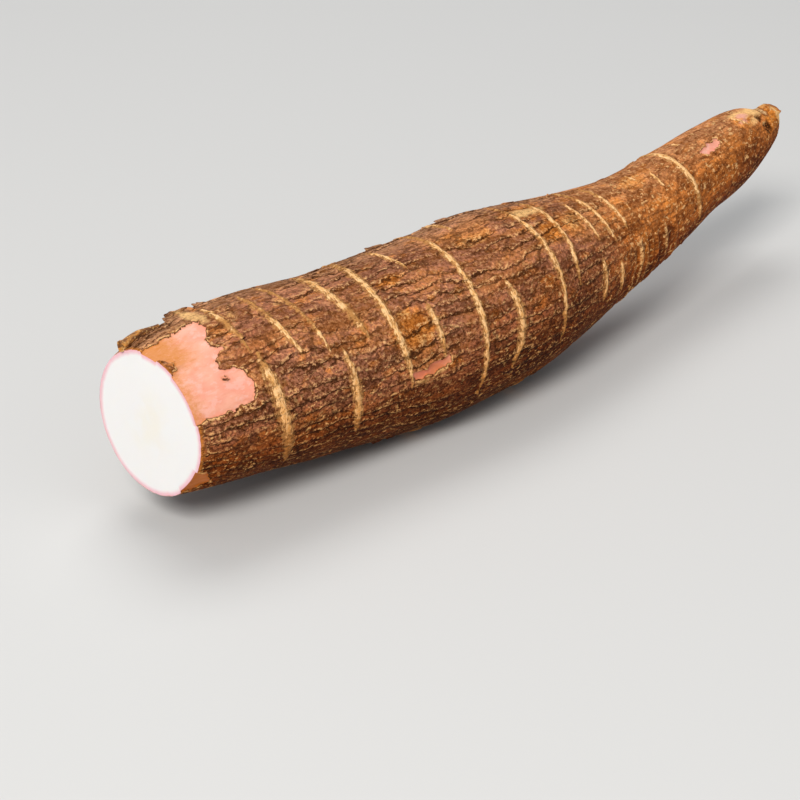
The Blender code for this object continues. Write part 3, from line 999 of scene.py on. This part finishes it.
def layCracks(skin, at):
    flank = ramp(at.around, -14, 16, 0.35, 1.0)
    speckled = ramp(plus(at.lowFlank, ramp(at.body, 1, 0)), 0, 1, 0.25, 0.75)
    specks = times(ramp(at.speckle, 0.60, 0.66), speckled, ramp(at.patchy, 0.40, 0.56, 0.25, 1.0))
    lenticels = times(ramp(at.lenticel, 0.62, 0.70), ramp(at.body, 0.8, 0.1, 0.0, 0.8))
    recessShadeTone = mix(at.under, skinColours["recessShade"], skinColours["deepRecessShade"])
    # a painted highlight on the crests of the folds
    skin = lay(skin, at.fleck, ramp(at.fold, 0.15, 0.45), ramp(at.crumb, 0.42, 0.60))
    # pale crumbs with a painted highlight on the flakes' lips and the plates' edges
    skin = lay(skin, at.fleck, at.lip, flank)
    skin = lay(skin, at.fleck, at.plateLip, flank, 0.35)
    skin = lay(skin, at.fleck, calc("MAXIMUM", specks, lenticels))
    # painted shade in the short and the long cracks
    skin = lay(skin, recessShadeTone, at.hair, 0.85)
    return lay(skin, recessShadeTone, at.line, 0.85)


def layMarks(skin, at):
    colour = skinColours
    creamy = times(ramp(at.crumb, 0.25, 0.48), ramp(at.strands, 0.36, 0.52, 0.55, 1.0))
    skin = lay(skin, tint(at.lowTone, colour["cream"][:3]), at.cream, creamy)
    skin = lay(skin, colour["peelPale"], at.pink, ramp(at.crumb, 0.30, 0.42))
    sawnEdge = ramp(plus(at.along, times(at.scallop, 2.0)), 2.6, 1.1)
    return lay(skin, colour["orange"], sawnEdge, ramp(at.crumb, 0.34, 0.52, 0.3, 0.9))


def layScars(skin, at):
    colour = skinColours
    whole = ramp(plus(times(at.glow, 0.30), blend(at.scallop, at.hue, 0.6)), 0.50, 0.66)
    bright = mix(ramp(blend(at.strands, at.hue, 0.7), 0.42, 0.56), colour["warmCork"], colour["cork"])
    cork = lay(colour["dullCork"], bright, ramp(at.scarEdge, 0.15, 0.70), whole)
    skin = lay(skin, colour["dullCork"], ramp(at.scarEdge, -0.55, 0.05),
               ramp(at.crumb, 0.35, 0.55, 0.25, 0.7))
    unbroken = ramp(plus(whole, ramp(at.crumb, 0.36, 0.60)), 0.0, 0.7)
    skin = lay(skin, tint(cork, at.lowTone), at.onScar, unbroken)
    # painted shade where the long cracks cross a scar
    return lay(skin, colour["recessShade"], at.line, at.onScar, ramp(at.hue, 0.50, 0.40, 0.0, 0.6))


def layPeel(skin, at):
    # the pink inner peel, with painted shade on the lower flanks, and the torn edge of the bark round it
    # with a line of painted shadow
    colour = skinColours
    pink = mix(ramp(at.patchy, 0.35, 0.65), colour["peel"], colour["peelPale"])
    nearCut = ramp(plus(at.along, times(at.hue, 9)), 20, 10)
    nearTop = ramp(plus(at.around, times(at.scallop, 16)), 46, 26)
    nearRim = calc("MAXIMUM", times(nearCut, nearTop, ramp(at.crumb, 0.3, 0.5, 0.6, 1.0)), at.orange)
    pink = lay(pink, colour["peelBlush"], ramp(at.blotch, 0.50, 0.62), 0.55)
    pink = lay(pink, colour["peelOrange"], nearRim)
    atCut = ramp(plus(at.along, times(at.blotch, 8)), 9.5, 4.5)
    pink = lay(pink, colour["peelOrange"], atCut, ramp(at.crumb, 0.35, 0.60, 0.35, 0.85))
    pink = lay(pink, colour["peelRed"], at.red, ramp(at.crumb, 0.30, 0.55, 0.7, 1.0))
    pink = lay(pink, colour["orange"], ramp(at.crumb, 0.62, 0.70), plus(times(nearRim, 0.8), 0.12))
    pink = lay(pink, colour["orange"], ramp(at.streak, 0.56, 0.68), plus(times(nearRim, 0.35), 0.10))
    pink = lay(pink, colour["orange"], ramp(at.torn, 0.6, 0.02), 0.35)
    pink = lay(pink, colour["orange"], at.under, ramp(at.patchy, 0.38, 0.58, 0.10, 0.80))

    edge = times(ramp(at.torn, -0.85, -0.30), ramp(plus(at.crumb, at.scallop), 0.95, 1.10))
    skin = lay(skin, at.fleck, edge, 0.9)
    # a line of painted shadow along the torn edge of the bark
    edgeShadow = times(ramp(at.body, 0, 1, 0.15, 0.75), ramp(plus(at.scallop, at.hue), 0.80, 1.02, 0.4, 1.0))
    skin = lay(skin, colour["recessShade"], ramp(at.torn, -0.26, -0.08), edgeShadow)
    skin = lay(skin, tint(pink, at.lowTone), at.bare)
    # painted shade in the dark pits
    return lay(skin, colour["recessShade"], at.dark, ramp(at.crumb, 0.66, 0.50))


def layFibres(skin, at):
    colour = skinColours
    fibre = mix(ramp(blend(at.thread, at.patchy, 0.7), 0.40, 0.60), colour["fibre"], colour["dryFlesh"])
    fibre = lay(fibre, colour["tailDark"], ramp(plus(at.snapped, times(at.crumb, 0.6)), 1.0, 0.7))
    return lay(skin, fibre, at.onBreak)


def skinRelief(at):
    rise = times(ramp(at.climb, 0.0, 0.88), ramp(at.climb, 1.0, 0.93), at.strength)
    rise = plus(times(rise, 0.45), times(at.crumb, ramp(at.body, 0, 1, 0.42, 0.72)))
    rise = plus(calc("SUBTRACT", rise, times(at.hair, 0.25)), times(at.hue, 0.70))
    rise = times(rise, ramp(at.bare, 0, 1, 1.0, 0.07), ramp(at.onBreak, 1, 0))
    rise = plus(rise, times(at.onBreak, at.thread), times(at.onScar, at.strands, 0.30))
    return calc("SUBTRACT", rise, times(at.bare, 0.40))


def skinFinish():
    material, tree, shader = newMaterial("cassava_bark")
    at = skinFields(tree)
    skin = baseTones(at)
    for layOn in (layCracks, layMarks, layScars, layPeel, layFibres):
        skin = layOn(skin, at)
    finish(shader, skin, skinRelief(at), 1.0, skinPaint["relief"])
    rough = mix(at.bare, skinPaint["barkRoughness"], skinPaint["peelRoughness"])
    tree.links.new(rough, shader.inputs["Roughness"])
    shader.inputs["Specular IOR Level"].default_value = skinPaint["specular"]
    return material


curlPaint = {
    "outside": (0.640, 0.270, 0.050, 1),
    "dark": (0.160, 0.055, 0.012, 1),
    "edge": (0.800, 0.520, 0.200, 1),
    "roughness": 0.7,
    "relief": 0.4,
    # sizes in metres
    "streaks": (0.006, 0.0012, 0.0012),
    "crumbs": (0.0009, 0.0009, 0.0009),
}


def curlFinish():
    material, tree, shader = newMaterial("cassava_peel_curl")
    place = objectPlace(tree)
    across = read(tree, "across")
    streaks = cloud(place, curlPaint["streaks"], 3.0, 0.6, 5.0)
    crumb = cloud(place, curlPaint["crumbs"], 3.0, 0.6, 8.0)
    tone = mix(ramp(streaks, 0.40, 0.62), curlPaint["dark"], curlPaint["outside"])
    ends = calc("MAXIMUM", ramp(across, 0.88, 0.99), ramp(across, 0.08, 0.0))
    tone = lay(tone, curlPaint["edge"], ends, ramp(crumb, 0.38, 0.50))
    tone = lay(tone, curlPaint["edge"], ramp(crumb, 0.58, 0.66), 0.7)
    finish(shader, tone, plus(streaks, crumb), 1.0, curlPaint["relief"])
    shader.inputs["Roughness"].default_value = curlPaint["roughness"]
    return material


fleshPaint = {
    "white": (0.800, 0.790, 0.782, 1),
    "heart": (0.800, 0.770, 0.705, 1),
    "pink": (0.790, 0.380, 0.450, 1),
    "rind": (0.420, 0.150, 0.070, 1),
    "heartReach": (15, 2),
    "pinkWidth": (1.9, 0.2),
    "rindWidth": (0.16, -0.04),
    "roughness": 0.42,
    "relief": 0.4,
    # sizes in metres
    "sawMarks": (0.0035, 0.0012, 0.020),
    "soft": (0.008, 0.008, 0.008),
    "glowDepth": (0.004, 0.003, 0.002),
    "glow": 0.25,
}


def fleshFinish():
    material, tree, shader = newMaterial("cassava_flesh")
    place = objectPlace(tree)
    sawMarks = cloud(place, fleshPaint["sawMarks"], 3.0, 0.55, 2.0)
    soft = cloud(place, fleshPaint["soft"], 3.0, 0.5, 7.0)
    fromRim = calc("SUBTRACT", read(tree, "rimGap"), swing(soft, 0.8))
    nearHeart = ramp(read(tree, "reach"), *fleshPaint["heartReach"])
    white = lay(fleshPaint["white"], fleshPaint["heart"], nearHeart, ramp(soft, 0.35, 0.65))
    white = lay(white, fleshPaint["pink"], ramp(fromRim, *fleshPaint["pinkWidth"]), 0.85)
    white = lay(white, fleshPaint["rind"], ramp(fromRim, *fleshPaint["rindWidth"]), 0.7)
    finish(shader, white, blend(sawMarks, soft, 0.5), 0.25, fleshPaint["relief"])
    shader.inputs["Roughness"].default_value = fleshPaint["roughness"]
    shader.inputs["Subsurface Weight"].default_value = fleshPaint["glow"]
    shader.inputs["Subsurface Radius"].default_value = fleshPaint["glowDepth"]
    shader.inputs["Subsurface Scale"].default_value = 1.0
    return material


studio = {
    "floorSize": 6.0,
    "floorTone": (0.62, 0.62, 0.615, 1),
    "floorDarker": (0.6107, 0.6107, 0.605775, 1),
    "floorPatches": (0.3, 0.3, 0.3),
    "worldTone": (0.93, 0.96, 1.0, 1),
    "worldLight": 0.30,
    # lights: place, aim, size, watts, tone
    "lights": {
        "key": ((-1.62, -0.86, 1.65), (0.02, 0.0, 0.03), 0.9, 56.0, (1.0, 0.975, 0.94)),
        "fill": ((-0.20, -2.20, 0.80), (0.02, 0.0, 0.03), 1.8, 3.5, (1.0, 0.98, 0.96)),
        "back": ((0.70, 0.90, 2.00), (0.05, 0.0, 0.05), 1.2, 20.0, (1.0, 0.99, 0.97)),
    },
    "eye": (-0.4135, -0.3757, 0.2736),
    "azimuth": -46.5,
    "elevation": 26.0,
    "viewAngle": 24.0,
}


def floorFinish():
    material, tree, shader = newMaterial("pale_floor")
    patches = cloud(objectPlace(tree), studio["floorPatches"])
    tree.links.new(mix(patches, studio["floorTone"], studio["floorDarker"]), shader.inputs["Base Color"])
    shader.inputs["Roughness"].default_value = 0.7
    return material


def addStage():
    print("setting the floor, lights and camera")
    deselectAll()
    bpy.ops.mesh.primitive_plane_add(size=studio["floorSize"], location=(0, 0, 0))
    floor = bpy.context.object
    floor.name = "studio_floor"
    floor.data.materials.append(floorFinish())
    world = bpy.data.worlds.new("studio")
    bpy.context.scene.world = world
    world.use_nodes = True
    background = world.node_tree.nodes["Background"]
    background.inputs["Color"].default_value = studio["worldTone"]
    background.inputs["Strength"].default_value = studio["worldLight"]
    for name, (place, aim, size, watts, tone) in studio["lights"].items():
        turn = (Vector(place) - Vector(aim)).to_track_quat("Z", "Y").to_euler()
        bpy.ops.object.light_add(type="AREA", location=place, rotation=turn)
        light = bpy.context.object
        light.name = name
        light.data.size = size
        light.data.energy = watts
        light.data.color = tone
    angle, rise = math.radians(studio["azimuth"]), math.radians(studio["elevation"])
    back = Vector((math.sin(angle) * math.cos(rise), -math.cos(angle) * math.cos(rise), math.sin(rise)))
    bpy.ops.object.camera_add(location=studio["eye"], rotation=back.to_track_quat("Z", "Y").to_euler())
    camera = bpy.context.object
    camera.name = "camera"
    camera.data.angle = math.radians(studio["viewAngle"])
    camera.data.clip_start = 0.01
    bpy.context.scene.camera = camera
    bpy.context.scene.view_settings.view_transform = "Standard"


skin, cutCentre, facing = wholeRoot()
curl = rolledPeel(skin)
lifted = allFlakes(skin)
mapRoot(skin, cutCentre, facing)
barkMaterial = skinFinish()
skin.data.materials.append(barkMaterial)
skin.data.materials.append(fleshFinish())
lifted.data.materials.append(barkMaterial)
curl.data.materials.append(curlFinish())
for piece, settings in ((skin, root), (lifted, flakes), (curl, rimCurl)):
    deselectAll()
    piece.select_set(True)
    bpy.context.view_layer.objects.active = piece
    bpy.ops.object.shade_smooth_by_angle(angle=math.radians(settings["smoothAngle"]))
    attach(piece, "root")
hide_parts(root["node"])

addStage()
